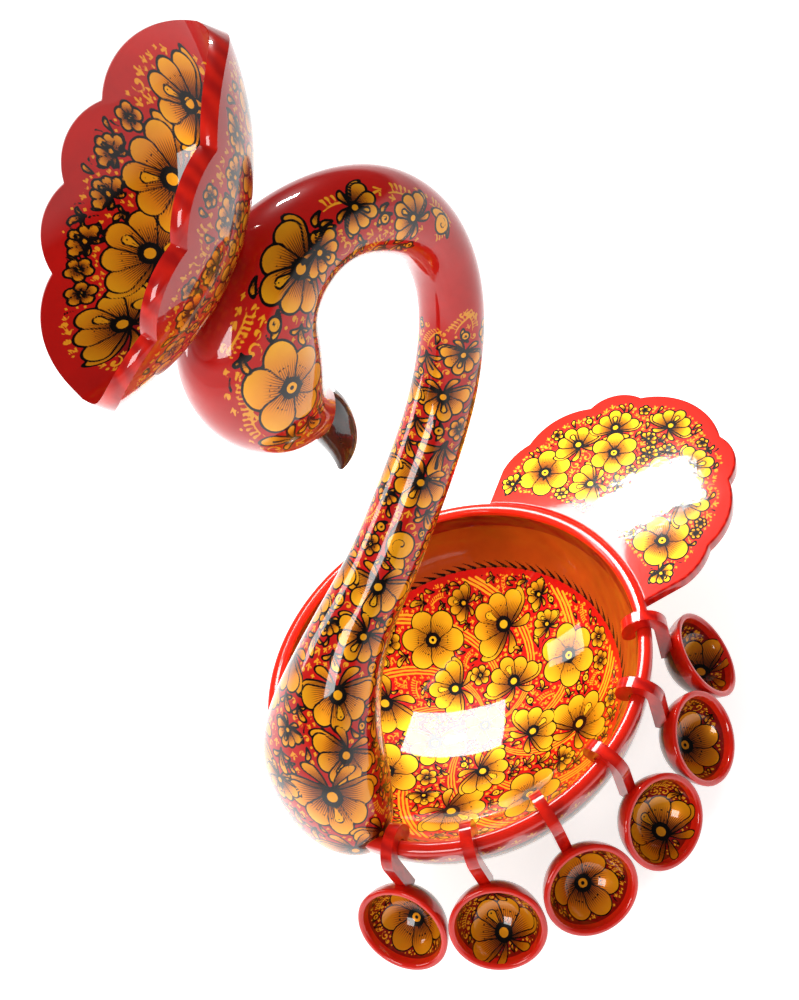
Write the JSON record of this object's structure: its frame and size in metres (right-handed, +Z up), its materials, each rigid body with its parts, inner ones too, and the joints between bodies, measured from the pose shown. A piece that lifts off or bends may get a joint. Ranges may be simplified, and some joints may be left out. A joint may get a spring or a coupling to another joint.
{
  "type": "swan punch bowl with hanging ladle cups",
  "caption": "Carved and painted wooden punch bowl shaped as a swan with an arched neck, shell crest and flat tail; small ladle cups hang by hooks from its rim and lift off.",
  "frame": {"origin": "centre of the bowl's flat foot, on the surface it stands on", "axes": "+Z up; the swan looks towards -X and its tail is on the +X side; the cups hang on the -Y side"},
  "size_m": [0.4041, 0.295, 0.5317],
  "materials": {
    "painted_wood": "red ground with gold, yellow and black brushwork under a hard gloss lacquer",
    "red_lacquer": "plain red under a hard gloss lacquer",
    "black_lacquer": "black-brown gloss lacquer",
    "bare_wood": "bare turned limewood, glued in"
  },
  "bodies": {
    "swan": {"bowl": "painted_wood", "neck_and_head": "painted_wood", "beak": "black_lacquer", "crest": "painted_wood", "crest_dowel": "bare_wood", "neck_dowels": "bare_wood", "tail_board": "painted_wood", "tail_dowels": "bare_wood"},
    "cup_1": {"cup_1_body": "painted_wood", "cup_1_handle": "red_lacquer", "cup_1_peg": "bare_wood"},
    "cup_2": {"cup_2_body": "painted_wood", "cup_2_handle": "red_lacquer", "cup_2_peg": "bare_wood"},
    "cup_3": {"cup_3_body": "painted_wood", "cup_3_handle": "red_lacquer", "cup_3_peg": "bare_wood"},
    "cup_4": {"cup_4_body": "painted_wood", "cup_4_handle": "red_lacquer", "cup_4_peg": "bare_wood"},
    "cup_5": {"cup_5_body": "painted_wood", "cup_5_handle": "red_lacquer", "cup_5_peg": "bare_wood"},
    "cup_6": {"cup_6_body": "painted_wood", "cup_6_handle": "red_lacquer", "cup_6_peg": "bare_wood"}
  },
  "joints": [
    {"name": "cup_1_lift", "type": "slide", "parent": "swan", "child": "cup_1", "axis": [0, 0, 1], "range_m": [0, 0.016]},
    {"name": "cup_2_lift", "type": "slide", "parent": "swan", "child": "cup_2", "axis": [0, 0, 1], "range_m": [0, 0.016]},
    {"name": "cup_3_lift", "type": "slide", "parent": "swan", "child": "cup_3", "axis": [0, 0, 1], "range_m": [0, 0.016]},
    {"name": "cup_4_lift", "type": "slide", "parent": "swan", "child": "cup_4", "axis": [0, 0, 1], "range_m": [0, 0.016]},
    {"name": "cup_5_lift", "type": "slide", "parent": "swan", "child": "cup_5", "axis": [0, 0, 1], "range_m": [0, 0.016]},
    {"name": "cup_6_lift", "type": "slide", "parent": "swan", "child": "cup_6", "axis": [0, 0, 1], "range_m": [0, 0.016]}
  ]
}
